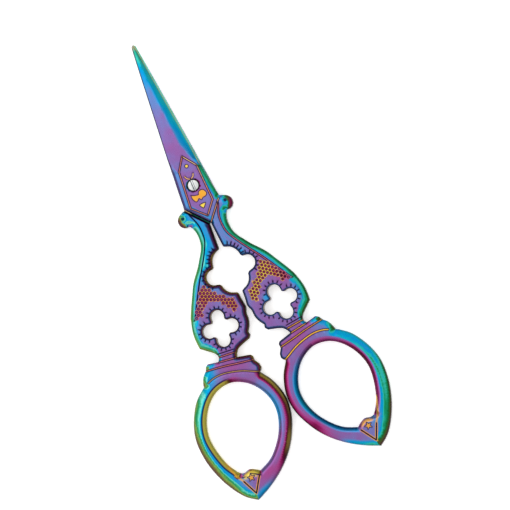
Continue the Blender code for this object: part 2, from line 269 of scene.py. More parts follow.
FLARE_LINE = smooth([(4.3, -7), (3.1, -10.5), (3, -13.5), (3.4, -15.5), (4.4, -17.5), (5.7, -19.7),
                     (7.4, -22.3), (9.2, -25), (11.4, -28.6), (13.3, -31.8), (14.6, -33.9)])
BORDER_LEFT = [(0.35, 8.45), (-2.15, 4.8), (-3.2, -5.6), (0.35, -9.15)]
BORDER_RIGHT = [(0.35, -9.15), (3.35, -5.65), (3.1, 4.6)]
BORDER_TOP = [(3.1, 4.6), (0.35, 8.45)]
PLATE_FOOT = [(4.9, -6.1), (0.5, -11.1)]
NECK_LINES = [[(8, y - 0.1), (12.9, y + 0.4)] for y in (-45.1, -46)]
NECK_RING = [(8.3, -47.6), (12.9, -46.9)]
COLLAR_LINE = smooth([(4.1, -50), (8, -49.3), (12.4, -48.4), (17.3, -47.7)])
BOW_ARC = smooth([(3.6, -53.7), (5.2, -53), (8, -51.6), (11.2, -50.6), (14, -50.15), (16.4, -50.35),
                  (18, -50.9)])
CREST_EDGE = [(15.2, -79.3), (17.9, -83.4), (19.8, -79.2)]
STAR = [polar((17.5, -79), radius, 98 + 36 * i) for i, radius in enumerate([1, 0.42] * 5)]
SPRIGS = [[(-1.2, 3), (-0.85, 2.3), (-0.2, 1.9)], [(1.25, 2.9), (1, 2.3), (0.35, 1.9)]]
WING = smooth([(-1.65, -2.45), (-0.9, -2.8), (-0.2, -2.95), (0.35, -3), (0.65, -2.3), (1.45, -2.05),
               (2.1, -2.35), (2.5, -3.35), (2, -3.95), (1.1, -4.05), (0.55, -4.5), (0.05, -3.85),
               (-0.5, -4.3), (-1.05, -4.45), (-1.6, -3.5), (-1.65, -2.45)], 2)
DROP = [(-0.5, -5.75), (0.4, -5.6), (1.2, -5.7), (0.7, -6.3), (0.15, -6.8), (-0.2, -6.3), (-0.5, -5.75)]
DOT = arc((0.43, 5.5), 0.42, 0, 360)
BOW_GLINT = smooth([(22.5, -72.5), (21.7, -75.4), (20.8, -77.6), (19.9, -78.9)])
HONEYCOMB = [(9.2, -25.9), (10.9, -28.4), (12.6, -31), (14.1, -33), (13.6, -34), (11.9, -33.6), (11, -32),
             (9.6, -31), (8, -31), (6.2, -31.6), (5, -33.5), (3.9, -35.4), (1.8, -35.5), (2, -33.4),
             (4, -31.5), (5.8, -29.9), (6.9, -28.2), (8.3, -26.8)]
HONEYCOMB_PITCH = 0.98
HONEYCOMB_TURN = 24
# How far from a cell's middle its ridge starts and is full, as shares of the pitch, then the warmth of
# the gilding at the honeycomb's left and right
HONEYCOMB_RIDGES = {"front": (0.37, 0.46, 0.1, 0.95), "back": (0.4, 0.48, 0.3, 0.85)}
# How far from the edge the gilding of the crest's boss starts to fade, and ends
BOSS_GILDING = {"front": (0.95, 1.5), "back": (1.4, 2.3)}
EAR_DIMPLE = (6.4, -7.2)
EAR_DIMPLE_RADIUS = 0.52

# Across a line: distance from its middle, height, share of gilding, share of dark groove
DOUBLE = [(0, 0.03, 1, 0), (0.08, 0.02, 0.9, 0), (0.15, -0.09, 0, 1), (0.27, -0.09, 0, 0.9),
          (0.38, 0, 0, 0)]
DARK_DOUBLE = [(0, -0.06, 0, 1), (0.15, -0.06, 0, 1), (0.27, 0, 0, 0)]
SINGLE = [(0, -0.12, 0, 1), (0.09, -0.1, 0, 1), (0.22, 0, 0, 0)]
TICK = [(0, -0.16, 0, 1), (0.11, -0.14, 0, 0.9), (0.24, 0, 0, 0)]
GOLD = [(0, 0.06, 1, 0), (0.13, 0.04, 1, 0), (0.21, -0.08, 0, 1), (0.32, -0.08, 0, 0.9),
        (0.42, 0, 0, 0)]
SPRIG = [(0, 0.06, 1, 0), (0.11, 0.03, 0.9, 0), (0.17, -0.07, 0, 1), (0.26, -0.07, 0, 0.8),
         (0.36, 0, 0, 0)]
GLINT = [(0, 0, 0.9, 0), (0.15, 0, 0.7, 0), (0.45, 0, 0, 0)]
CREST = [(0, -0.12, 0, 1), (0.13, -0.1, 0, 1), (0.21, 0.03, 1, 0), (0.31, 0.03, 0.9, 0),
         (0.42, 0, 0, 0)]
# Across a raised shape's outline: distance outside it is negative
RAISED = [(-0.24, 0, 0, 0), (-0.14, -0.08, 0, 0.9), (-0.04, -0.08, 0, 1), (0.06, 0.03, 0.9, 0),
          (0.4, 0.1, 1, 0)]


def ticks():
    """Short grooves that stand out round the lobes of the large and the small quatrefoil."""
    marks = [((0.2, -22.6), 4.4, 5.2, angle) for angle in range(6, 78, 12)]
    marks += [((5.05, -25.2), 2.7, 3.3, angle) for angle in range(-62, 78, 23)]
    for quarter in range(4):
        turn = QUATREFOIL_TURN + 90 * quarter
        lobe = polar(QUATREFOIL_CENTRE, LOBE_DISTANCE, turn)
        marks += [(lobe, 2.45, 2.85, turn + angle) for angle in range(-78, 79, 26)]
    return [[polar(centre, near, angle), polar(centre, far, angle)] for centre, near, far, angle in marks]


def handle_lines(side):
    """The engraved lines on both faces of a handle, and a painted glint, as (points, profile, warmth of the
    gilding).
    """
    flare, bow_arc, warm = (DOUBLE, GOLD, 0.3) if side == "front" else (DARK_DOUBLE, DOUBLE, 0.85)
    lines = [(FLARE_LINE, flare, 0.95), (NECK_RING, DOUBLE, warm)]
    lines += [(NECK_LINES[0], SINGLE, 0), (NECK_LINES[1], DOUBLE, warm)]
    lines += [(COLLAR_LINE, DOUBLE, warm), (BOW_ARC, bow_arc, 0.2)]
    # The bow's glint is a painted highlight beside the finger hole, not an engraved line
    lines += [(CREST_EDGE, CREST, 0.3), (BOW_GLINT, GLINT, 0.25)]
    return lines + [(mark, TICK, 0) for mark in ticks()]


def plate_lines():
    """The engraved lines on the outer face of the pivot plate."""
    lines = [(BORDER_LEFT, DOUBLE, 0.78), (BORDER_RIGHT, DOUBLE, 0.7), (BORDER_TOP, DOUBLE, 0.55)]
    lines += [(PLATE_FOOT, DOUBLE, 0.62)]
    return lines + [(sprig, SPRIG, 0.5) for sprig in SPRIGS]


def raised_shapes():
    """Every raised, gilded shape as (closed outline, warmth)."""
    return [(WING, 0.28), (DROP, 0.05), (DOT, 0.05), (STAR + STAR[:1], 0.25)]


def honeycomb_cells():
    """Middles of the dimples that lie inside the honeycomb's outline."""
    rows = np.arange(-14, 15)
    across, up = np.meshgrid(rows, rows)
    x = (across + 0.5 * (up % 2)) * HONEYCOMB_PITCH
    y = up * HONEYCOMB_PITCH * math.sin(math.pi / 3)
    cos, sin = math.cos(math.radians(HONEYCOMB_TURN)), math.sin(math.radians(HONEYCOMB_TURN))
    cells = np.stack([x * cos - y * sin, x * sin + y * cos], axis=-1).reshape(-1, 2)
    cells += np.mean(HONEYCOMB, axis=0)
    return cells[inside(cells, [np.array(HONEYCOMB)])]


# ---- plan geometry

def inside(points, loops):
    """Whether each point is inside the closed loops, by the even-odd rule."""
    result = np.zeros(len(points), bool)
    for loop in loops:
        for (ax, ay), (bx, by) in zip(loop, np.roll(loop, -1, axis=0)):
            if ay == by:
                continue
            rows = np.flatnonzero((points[:, 1] > min(ay, by)) & (points[:, 1] <= max(ay, by)))
            crossing = ax + (points[rows, 1] - ay) * (bx - ax) / (by - ay)
            result[rows] ^= points[rows, 0] < crossing
    return result


def unit(vectors):
    """The vectors, each at a length of 1."""
    return vectors / np.maximum(np.linalg.norm(vectors, axis=-1, keepdims=True), 1e-9)


def nearest(points, starts, ends, reach, start_values=None, end_values=None):
    """Distance from each point to the nearest segment, and the segment's value there."""
    order = np.argsort(points[:, 1])
    heights = points[order, 1]
    distance = np.full(len(points), float(reach))
    values = None if start_values is None else np.zeros((len(points), start_values.shape[1]))
    for i, (start, end) in enumerate(zip(starts, ends)):
        low = np.searchsorted(heights, min(start[1], end[1]) - reach)
        high = np.searchsorted(heights, max(start[1], end[1]) + reach)
        rows = order[low:high]
        rows = rows[np.abs(points[rows, 0] - (start[0] + end[0]) / 2) < reach + abs(end[0] - start[0]) / 2]
        if not len(rows):
            continue
        along = end - start
        t = np.clip((points[rows] - start) @ along / max(along @ along, 1e-12), 0, 1)[:, None]
        gap = np.linalg.norm(points[rows] - start - t * along, axis=1)
        closer = gap < distance[rows]
        distance[rows[closer]] = gap[closer]
        if values is not None:
            values[rows[closer]] = (start_values[i] + t * (end_values[i] - start_values[i]))[closer]
    return distance, values


def to_line(points, line, reach):
    line = np.asarray(line, float)
    return nearest(points, line[:-1], line[1:], reach)[0]


def side_normals(line, is_closed):
    """Unit normals to the left of a polyline at its points."""
    before = np.roll(line, 1, axis=0) if is_closed else np.concatenate([line[:1], line[:-1]])
    after = np.roll(line, -1, axis=0) if is_closed else np.concatenate([line[1:], line[-1:]])
    along = unit(after - before)
    return np.stack([-along[:, 1], along[:, 0]], axis=1)


def grid(low, high, spacing):
    """A triangular grid of points over a box."""
    rise = spacing * math.sin(math.pi / 3)
    rows, columns = math.ceil((high[1] - low[1]) / rise), math.ceil((high[0] - low[0]) / spacing)
    y, x = np.mgrid[0:rows, 0:columns].astype(float)
    x = low[0] + (x + 0.5 * (y % 2)) * spacing
    return np.stack([x, low[1] + y * rise], axis=-1).reshape(-1, 2)


def gaps(points, others):
    """Distance from each point to the nearest of the others."""
    tree = KDTree(len(others))
    for index, (x, y) in enumerate(others):
        tree.insert((x, y, 0), index)
    tree.balance()
    return np.array([tree.find((x, y, 0))[2] for x, y in points])


def left_of(points, start, end):
    """Distance from a line, positive on its left."""
    along = unit(np.subtract(end, start))
    offset = points - np.array(start)
    return along[0] * offset[:, 1] - along[1] * offset[:, 0]


def beyond_shoulder(points):
    """Distance past the shoulder's line, positive on the side of the plate and the blade."""
    return left_of(points, SHOULDER_FOOT, SHOULDER_TOP)


def circle(radius):
    """A clockwise circle round the pivot."""
    count = max(24, round(2 * math.pi * radius / (0.14 * FINE)))
    angles = -2 * math.pi * np.arange(count) / count
    return radius * np.stack([np.cos(angles), np.sin(angles)], axis=1)


def detail_points():
    """Points along the engraved lines and shapes and the blade's ridge, in the honeycomb and the dimple."""
    found = []
    shapes = [(shape, RAISED, warm) for shape, warm in raised_shapes()]
    for line, profile, _ in handle_lines("front") + plate_lines() + shapes:
        run = resampled(line, LINE_SPACING)
        sides = side_normals(run, False)
        for offset in {s * row[0] for row in profile for s in (-1, 1)}:
            found.append(run + sides * offset)
    margin = 0.4
    comb = grid(np.min(HONEYCOMB, axis=0) - margin, np.max(HONEYCOMB, axis=0) + margin, COMB_SPACING)
    spread = to_line(comb, HONEYCOMB + HONEYCOMB[:1], 1)
    found.append(comb[inside(comb, [np.array(HONEYCOMB)]) | (spread < margin)])
    ridge_y = np.arange(BLADE_START_Y, 41, 0.4 * FINE)
    found.append(np.stack([ridge_at(ridge_y), ridge_y], axis=1))
    radii = (0.14, 0.28, 0.4, EAR_DIMPLE_RADIUS, 0.66, 0.8, 0.95)
    found += [arc(EAR_DIMPLE, radius, 0, 354) for radius in radii]
    return np.unique(np.round(np.concatenate(found) / DETAIL_STEP), axis=0) * DETAIL_STEP


# ---- heights

def ramp(low, high, value):
    """0 below low, 1 above high, and smooth between them."""
    t = np.clip((value - low) / (high - low), 0, 1)
    return t * t * (3 - 2 * t)


def ridge_at(y):
    """Where the blade's level facet meets the ground facet."""
    return np.interp(y, [BLADE_START_Y, 7.5, 12, 32, TIP_Y], [3.75, 2.5, 1.2, 0, 0])


def facet_share(x, y):
    """How far a point lies across the ground facet, from the ridge at 0 to the cutting edge at 1."""
    edge_x = PIVOT_HALF_WIDTH - y * BLADE_TAPER - EDGE_SETBACK
    ridge = ridge_at(y)
    return np.clip((x - ridge) / np.maximum(edge_x - ridge, 0.05), 0, 1)


def blade_drop(x, y):
    """How far the blade's top lies below full thickness."""
    crown = np.interp(y, [12, 32, 41.5], [THICKNESS, THICKNESS - 0.35, LAP_Z + 0.6])
    edge_z = LAP_Z + np.interp(y, [BLADE_START_Y, 7.5, 12], [0.95, 0.5, 0.12])
    return np.where(y > BLADE_START_Y, THICKNESS - crown + facet_share(x, y)**1.1 * (crown - edge_z), 0)


def level_relief(points):
    """How far each region's level face lies below full thickness."""
    x, y = points.T
    panel = PANEL_RELIEF * ramp(0, 0.2, left_of(points, *PLATE_FOOT))
    collar_y = -46.9 + 0.14 * (x - 10.5)
    relief = panel + (COLLAR_RELIEF - panel) * ramp(0, 0.3, collar_y - y)
    bow_y = np.interp(x, *np.array(BOW_ARC).T)
    return relief * (1 - ramp(0, 0.3, bow_y - y))


class Engraving:
    """What the engraving does at each point: height, gilding and painted glints, dark groove and painted
    shade, the gilding's warmth, film.
    """

    def __init__(self, points):
        self.points = points
        self.height, self.gilt, self.groove_and_shade, self.warmth, self.tint = np.zeros((5, len(points)))

    def apply(self, distance, profile, warm):
        knots = np.array(profile)
        rows = np.flatnonzero(distance < knots[-1, 0])
        rise, gold, dark = (np.interp(distance[rows], knots[:, 0], knots[:, k]) for k in (1, 2, 3))
        self.height[rows] = np.where(np.abs(rise) > np.abs(self.height[rows]), rise, self.height[rows])
        self.warmth[rows] = np.where(gold > self.gilt[rows], warm, self.warmth[rows])
        self.gilt[rows] = np.maximum(self.gilt[rows], gold)
        self.groove_and_shade[rows] = np.maximum(self.groove_and_shade[rows], dark)

    def lines(self, lines):
        for line, profile, warm in lines:
            self.apply(to_line(self.points, resampled(line, 0.4), profile[-1][0]), profile, warm)

    def shapes(self, shapes):
        for shape, warm in shapes:
            distance = to_line(self.points, resampled(shape, 0.2), 0.6)
            signed = np.where(inside(self.points, [np.array(shape)]), -distance, distance)
            self.apply(signed, [(-row[0], *row[1:]) for row in RAISED][::-1], warm)

    def honeycomb(self, side):
        corners = np.min(HONEYCOMB, axis=0) - 0.5, np.max(HONEYCOMB, axis=0) + 0.5
        rows = np.flatnonzero(((self.points > corners[0]) & (self.points < corners[1])).all(axis=1))
        reach = gaps(self.points[rows], honeycomb_cells())
        near = reach < 0.66 * HONEYCOMB_PITCH
        rows, share = rows[near], reach[near] / HONEYCOMB_PITCH
        low, high, cool, warm = HONEYCOMB_RIDGES[side]
        ridge = ramp(low, high, share)
        outside = ramp(0.53, 0.6, share)
        self.height[rows] = -0.2 + 0.2 * ramp(0.22, 0.44, share)
        self.gilt[rows] = 0.95 * ridge * (1 - outside)
        hollow = 0.15 + 0.6 * ramp(0.12, 0.26, share)
        self.groove_and_shade[rows] = hollow * (1 - ridge) + 0.7 * outside * (1 - ramp(0.6, 0.66, share))
        self.tint[rows] = -0.4 * (1 - outside)
        self.warmth[rows] = cool + (warm - cool) * ramp(9.5, 13.5, self.points[rows, 0])

    def dimple(self):
        # Painted shade in the ear's dimple, lighter at its middle as a painted glint, and a painted
        # highlight on the raised ring round it
        away = np.linalg.norm(self.points - EAR_DIMPLE, axis=1) / EAR_DIMPLE_RADIUS
        ring = np.clip(1 - 2.5 * np.abs(away - 1.4), 0, 1)
        self.height += 0.08 * ring - 0.3 * np.clip(1 - away**2, 0, 1)
        self.tint += 0.3 * ring
        dark = np.clip(2 - 1.8 * away, 0, 0.95) - 0.35 * np.clip(1 - 3 * away, 0, 1)
        self.groove_and_shade = np.maximum(self.groove_and_shade, dark)


def crest(points):
    """How far inside the crest's round boss, and inside the scoop beside it, each point lies."""
    x, y = points.T
    boss = np.clip(1 - np.hypot((x - 17.6) / 2.2, (y + 78.6) / 1.7), 0, 1)
    scoop = np.clip(1 - np.hypot((x - 20.3) / 1.3, (y + 77) / 1), 0, 1)
    return boss, scoop


# ---- the halves

def new_mesh(name, vertices, faces):
    mesh = bpy.data.meshes.new(name)
    mesh.from_pydata(vertices, [], faces)
    return mesh


def placed(name, data):
    """A new object in the scene."""
    thing = bpy.data.objects.new(name, data)
    bpy.context.scene.collection.objects.link(thing)
    return thing


def plan(side, bore, counterbore):
    """The half's triangulated plan: points, triangles, and each point's rim distance and values."""
    rims = RIMS if side == "front" else BACK_RIMS
    around = [outline(), [("pierced", quatrefoil())], [("hole", bow_hole())]]
    loops = [closed(stretches, rims) for stretches in around]
    bore_loop = circle(bore)
    loops.append((bore_loop, np.tile(RIMS["bore"], (len(bore_loop), 1)).astype(float)))
    fixed, edges = [], []

    def add_chain(chain, is_closed):
        first = sum(map(len, fixed))
        fixed.append(chain)
        last = len(chain) if is_closed else len(chain) - 1
        edges.extend((first + i, first + (i + 1) % len(chain)) for i in range(last))

    for loop, _ in loops:
        add_chain(loop, True)
    slant = unit(np.subtract(SHOULDER_TOP, SHOULDER_FOOT))
    shoulder = resampled([SHOULDER_FOOT + 0.02 * slant, SHOULDER_TOP - 0.02 * slant], RIM_SPACING)
    for gap in (-SHOULDER_BEVEL, 0, STEP_WIDTH):
        add_chain(shoulder + gap * np.array((-slant[1], slant[0])), False)
    if counterbore:
        add_chain(circle(counterbore - STEP_WIDTH), True)
        add_chain(circle(counterbore), True)
    solid = [loop for loop, _ in loops]
    starts = np.concatenate(solid)
    ends = np.concatenate([np.roll(loop, -1, axis=0) for loop in solid])
    start_values = np.concatenate([values for _, values in loops])
    end_values = np.concatenate([np.roll(values, -1, axis=0) for _, values in loops])

    rings = []
    for loop, values in loops[:3]:
        sides = side_normals(loop, True)
        for share, steep_share in RIM_ROWS:
            depth = values[:, :1] * share + values[:, 4:5] * steep_share
            ring = loop + sides * depth
            found = nearest(ring, starts, ends, REACH)[0]
            rings.append(ring[(found > 0.96 * depth[:, 0]) & (depth[:, 0] > 0.04)])
    rings = np.concatenate(rings)
    chains = np.concatenate(fixed)
    extra = np.concatenate([rings, detail_points()])
    extra = extra[inside(extra, solid)]
    extra = extra[gaps(extra, chains) > 0.05]
    field = grid(starts.min(axis=0), starts.max(axis=0), GRID_SPACING)
    field = field[inside(field, solid)]
    field = field[gaps(field, np.concatenate([chains, extra])) > 0.55 * GRID_SPACING]
    everything = np.concatenate([chains, extra, field])
    points, _, triangles, *_ = delaunay_2d_cdt([Vector(p) for p in everything], edges, [], 0, 1e-5, False)
    points, triangles = np.array([tuple(p) for p in points]), np.array(triangles)
    corners = points[triangles]
    turn = np.cross(corners[:, 1] - corners[:, 0], corners[:, 2] - corners[:, 0])
    triangles[turn < 0] = triangles[turn < 0][:, ::-1]
    triangles = triangles[inside(corners.mean(axis=1), solid) & (np.abs(turn) > 1e-9)]
    used, triangles = np.unique(triangles, return_inverse=True)
    points, triangles = points[used], triangles.reshape(-1, 3)
    distance, values = nearest(points, starts, ends, REACH, start_values, end_values)
    return points, triangles, distance, values


def heights(points, distance, values, counterbore, side):
    """Heights above and below, both with and without the engraving, and the engraving on each face."""
    x, y = points.T
    width, drop, power, round_share, steep_width, steep_drop, curve = values[:, :7].T
    outward = np.clip((width - distance) / np.maximum(width - steep_width, 0.05), 0, 1)
    planar, quarter = outward ** np.maximum(power, 1), 1 - np.sqrt(np.clip(1 - outward**2, 0, 1))
    steep = np.clip(1 - distance / np.maximum(steep_width, 0.05), 0, 1) ** curve
    rim = drop * (planar + round_share * (quarter - planar)) + steep_drop * steep
    boss, scoop = crest(points)
    below = Engraving(points)
    below.lines(handle_lines(side))
    below.shapes(raised_shapes())
    below.honeycomb(side)
    below.dimple()
    gilded = np.clip(3 * boss, 0, 1) * (1 - ramp(*BOSS_GILDING[side], distance))
    below.warmth = np.where(gilded > below.gilt, 0.25 if side == "front" else 0.02, below.warmth)
    below.gilt = np.maximum(below.gilt, 0.9 * gilded * (1 - below.groove_and_shade))
    above = deepcopy(below)
    above.lines(plate_lines())
    past = beyond_shoulder(points)
    handle = past < STEP_WIDTH / 2
    relief = np.maximum(level_relief(points), blade_drop(x, y) * ~handle)
    plain = relief + rim + 0.9 * scoop - 0.25 * np.sqrt(boss) * rim
    shoulder = SHOULDER_DROP * np.clip(1 + past / SHOULDER_BEVEL, 0, 1)
    tops, bottoms = [], []
    for engraved in (0, 1):
        top = THICKNESS - np.maximum(plain - engraved * above.height, 0)
        bottom = np.where(handle, np.maximum(plain - engraved * below.height, 0) + shoulder, LAP_Z)
        if counterbore:
            top = np.where(np.hypot(x, y) < counterbore - STEP_WIDTH / 2, COUNTERBORE_FLOOR, top)
        tops.append(np.maximum(top, bottom + 0.05))
        bottoms.append(bottom)
    # Painted shadow: the counterbore round the screw head, floor and wall, is dark and ungilded
    if counterbore:
        ring = np.hypot(x, y) < counterbore + 0.01
        above.groove_and_shade[ring], above.gilt[ring] = 1, 0
    glint = (y > 4.8) & (x > ridge_at(y)) & (distance < 0.12)
    above.gilt, above.warmth = np.where(glint, 0.5, above.gilt), np.where(glint, 0.55, above.warmth)
    tip = 0.4 * ramp(40, 41.6, y)
    above.gilt, above.warmth = np.maximum(above.gilt, tip), np.where(tip > 0, 0.55, above.warmth)
    # Painted shade on the shoulder's bevel under the handle
    below.groove_and_shade = np.maximum(below.groove_and_shade, 0.8 * ramp(0, 0.3, shoulder) * handle)
    return tops, bottoms, above, below


def surface_slopes(points, triangles, height):
    """Plan part of the unit normals of a surface at its points."""
    corners = np.column_stack([points, height])[triangles]
    across = np.cross(corners[:, 1] - corners[:, 0], corners[:, 2] - corners[:, 0])
    normals = np.zeros((len(points), 3))
    for k in range(3):
        np.add.at(normals, triangles[:, k], across)
    return unit(normals)[:, :2]


def closed_mesh(name, points, triangles, top, bottom):
    """A closed mesh between the two heights, with rows of points up its walls.

    It comes with the plan's rim points, the outward direction at each, and the number of rows.
    """
    count = len(points)
    sides = np.concatenate([triangles[:, [0, 1]], triangles[:, [1, 2]], triangles[:, [2, 0]]])
    codes = sides[:, 0].astype(np.int64) * count + sides[:, 1]
    opposite = sides[:, 1].astype(np.int64) * count + sides[:, 0]
    rim_edges = sides[~np.isin(codes, opposite)]
    rim = np.unique(rim_edges)
    shares = (0.12, 0.5, 0.88)
    foot, rise = bottom[rim], top[rim] - bottom[rim]
    rows = [np.column_stack([points[rim], foot + share * rise]) for share in shares]
    place = np.full(count, -1)
    place[rim] = np.arange(len(rim))
    coordinates = np.concatenate([np.column_stack([points, top]), np.column_stack([points, bottom])] + rows)
    levels = [np.arange(count) + count]
    levels += [2 * count + index * len(rim) + place for index in range(len(shares))]
    levels += [np.arange(count)]
    faces = [tuple(face) for face in triangles.tolist()]
    faces += [tuple(face) for face in (triangles[:, ::-1] + count).tolist()]
    for lower, upper in zip(levels, levels[1:]):
        a, b = rim_edges.T
        faces += list(zip(lower[a].tolist(), lower[b].tolist(), upper[b].tolist(), upper[a].tolist()))
    mesh = new_mesh(name, (coordinates * MM).tolist(), faces)
    mesh.validate()
    mesh.update()
    mesh.shade_smooth()
    mesh.set_sharp_from_angle(angle=math.radians(32))
    outward = np.zeros((count, 2))
    along = unit(points[rim_edges[:, 1]] - points[rim_edges[:, 0]])
    for k in range(2):
        np.add.at(outward, rim_edges[:, k], np.column_stack([along[:, 1], -along[:, 0]]))
    return mesh, rim, unit(outward)[rim], len(shares)


# ---- the coating's colours

# The film's changes from place to place: middle, reach along x and y, change on level faces and on slopes
TINTS = {
    "front": [
        ((22, -52), (5, 5), 0.38, 0.34), ((26, -63), (6, 12), 0.48, -0.1),
        ((24, -78), (5, 7), 0.3, 0.1), ((4.2, -73.6), (3, 3.4), -0.4, -0.25),
        ((9, -49.3), (6, 2.4), -0.1, -0.05), ((12.6, -32.2), (1.4, 1.6), -0.3, 0),
        ((14.6, -37), (1, 7), 0.2, 0.05), ((1.3, -18), (1.4, 2.2), 0.16, 0),
        ((4.6, -21.8), (1, 1), 0.26, 0.1), ((5.9, -36), (0.9, 0.9), 0.3, 0.2),
        ((2.6, -13), (3, 8), 0.1, 0), ((0.5, -33), (1.5, 3), 0.12, 0),
        ((12, -82.4), (6.5, 2.6), 0.04, 0.45), ((17, -84), (2.4, 2), 0.1, 0.3),
        ((17, -47.6), (2, 1.4), 0.25, 0.15), ((6.9, -7.4), (1.8, 1.8), 0.34, 0.2),
        ((5.35, -9.9), (0.6, 0.6), -0.3, -0.75), ((7.7, -8.4), (1.2, 1.2), 0, 0.4),
        ((15.4, -46.9), (1.5, 0.7), 0.2, 0.9), ((5.4, -5.6), (0.5, 0.5), -0.2, -0.6),
    ],
    "back": [
        ((22, -53), (5, 5), 0.4, 0.42), ((26, -64), (6, 11), 0.32, 0.36),
        ((24, -78), (5, 7), 0.32, 0.1), ((3, -62), (3.5, 9), 0.12, 0),
        ((12.5, -79.6), (4, 2.2), -0.22, -0.1), ((9, -49.3), (6, 2.4), -0.1, -0.05),
        ((3.5, -14), (4, 9), 0.36, 0), ((6.5, -23), (3, 6), 0.32, 0),
        ((14.6, -37), (1.4, 7), 0.22, 0.05), ((4.6, -22), (1.2, 1.2), 0.2, 0.1),
        ((17, -48.6), (2.4, 2.4), 0.32, 0.2), ((6.9, -7.4), (1.8, 1.8), 0.38, 0.2),
        ((5.35, -9.9), (0.8, 0.7), -0.5, -1.15), ((7.7, -8.4), (1.2, 1.2), 0, 0.5),
        ((24.5, -74), (5, 6), 0, 0.1), ((15.4, -46.9), (1.5, 0.7), 0.2, 0.9),
        ((5, -41), (4, 3), 0.06, 0), ((15, -84), (4, 2.2), 0, 0.2),
        ((4.6, -75.5), (5, 6.5), 0, -0.62),
    ],
}


def blade_film(x, y):
    """The film's place on the blade's two facets, from the plate to the tip."""
    left = np.interp(y, [14, 20, 25, 29, 33, 37, 40, 42], [0, 0.06, 0.13, 0.22, 0.34, 0.5, 0.62, 0.68])
    right = np.interp(y, [4, 12, 20, 30, 36, 42], [0.32, 0.35, 0.44, 0.52, 0.58, 0.64])
    edge = np.interp(y, [4, 12, 34, 42], [0.62, 0.55, 0.6, 0.66])
    right += (edge - right) * ramp(0.4, 1, facet_share(x, y))
    facet = ramp(-0.5, 0.45, x - ridge_at(y))
    return left * (1 - facet) + right * facet


def film(points, slopes, values, side):
    """The film's place along its colours, how deep its painted shade is, and how dark the painted shade
    makes its steep edges.
    """
    x, y = points.T
    slope = np.linalg.norm(slopes, axis=1)
    across, along = slopes.T / np.maximum(slope, 1e-6)
    run, turned, edge_shade, hole, spine, lap, cut = values[:, 7:].T
    back = float(side == "back")
    reach = np.clip(slope - 0.03, 0, 1) ** 0.55
    general = ((0.95 * across - 0.62 * along) * turned + run) * reach
    # In plan, the finger hole's wall is blue where it faces +x; elsewhere the back half's turns olive
    blue = np.where(across > 0, 0.75 + 0.08 * back, 0.45)
    in_hole = (-0.15 - 0.25 * back + blue * across + 0.25 * along) * reach
    facing = back * (1 - ramp(-0.1, 0.3, across))
    olive = 1.2 * np.minimum(across, 0) + 0.75 * np.minimum(along, 0) - 0.45
    in_hole += (olive * ramp(0.2, 0.4, slope) - in_hole) * facing
    by_spine = 0.18 * ramp(0.06, 0.14, slope) - 0.1 * ramp(0.3, 0.5, slope)
    by_lap = 0.48 * ramp(0.06, 0.15, slope) + 0.36 * ramp(0.35, 0.6, slope)
    upright = ramp(0.6, 0.72, slope) if side == "back" else ramp(0.8, 1, slope)
    by_cut = 0.14 * ramp(0.1, 0.3, slope) - 1.15 * upright
    place = general * (1 - hole - spine - lap - cut)
    place += in_hole * hole + by_spine * spine + by_lap * lap + by_cut * cut
    level = 1 - ramp(0.08, 0.35, slope)
    for (cx, cy), (rx, ry), on_level, on_slope in TINTS[side]:
        amount = on_slope + (on_level - on_slope) * level
        place += amount * np.exp(-((x - cx) / rx) ** 2 - ((y - cy) / ry) ** 2)
    # Painted shade on steep slopes, on the finger hole's walls, on the lap's bevel and on the cut edges
    shade = ramp(0.45, 1, slope) * (1 - back * hole) + 0.5 * spine * ramp(0.3, 0.5, slope)
    shade += 0.42 * hole * (across > 0.2) * ramp(0.3, 0.6, slope)
    shade += lap * ramp(0.32, 0.5, slope) + cut * (0.75 * ramp(0.15, 0.4, slope) - 1.5 * upright)
    # Painted shade: the inner edges are darkest where they are straight, above the pierced panel and beside
    # the collar
    straight = ramp(-20, -18.5, y) + 0.7 * (ramp(-45.5, -44.5, y) - ramp(-34, -32.5, y))
    dark = edge_shade * ramp(0.3, 0.6, slope) * (1 - 0.9 * cut * upright * (1 - straight))
    dark += 0.85 * facing * hole * (ramp(0.1, 0.18, slope) - ramp(0.38, 0.5, slope))
    return place, np.clip(shade, 0, 1), np.clip(dark, 0, 1)


def colour_blade(points, distance, top, lap):
    """Gives the blade's facets and the flat lap side their own films, with painted shade on the lap beside
    the shoulder.
    """
    x, y = points.T
    facets = ramp(BLADE_START_Y, 9, y) * (distance > 0.3)
    facets = np.maximum(facets, ramp(-0.3, 0.2, x - ridge_at(y)) * (y > BLADE_START_Y))
    top[0] += (blade_film(x, y) - top[0]) * facets
    past = beyond_shoulder(points)
    # Painted shade darkens the lap beside the shoulder's step
    corner = 1 - ramp(0.7, 1.1, past)
    gilded = 0.85 * corner * ramp(3.6, 4.3, x)
    place = 0.12 * ramp(14, 30, y) + 0.3 * ramp(30, 42, y) + 0.08 * ramp(1, 4, np.abs(x))
    place += (0.62 - place) * (1 - ramp(0.2, 0.4, distance)) * (x < 0)
    for column, value in enumerate((place + 0.7 * corner, 0.75 * corner, gilded, 0.3 * corner, 0.55)):
        lap[column] = np.where(past > STEP_WIDTH / 2, value, lap[column])


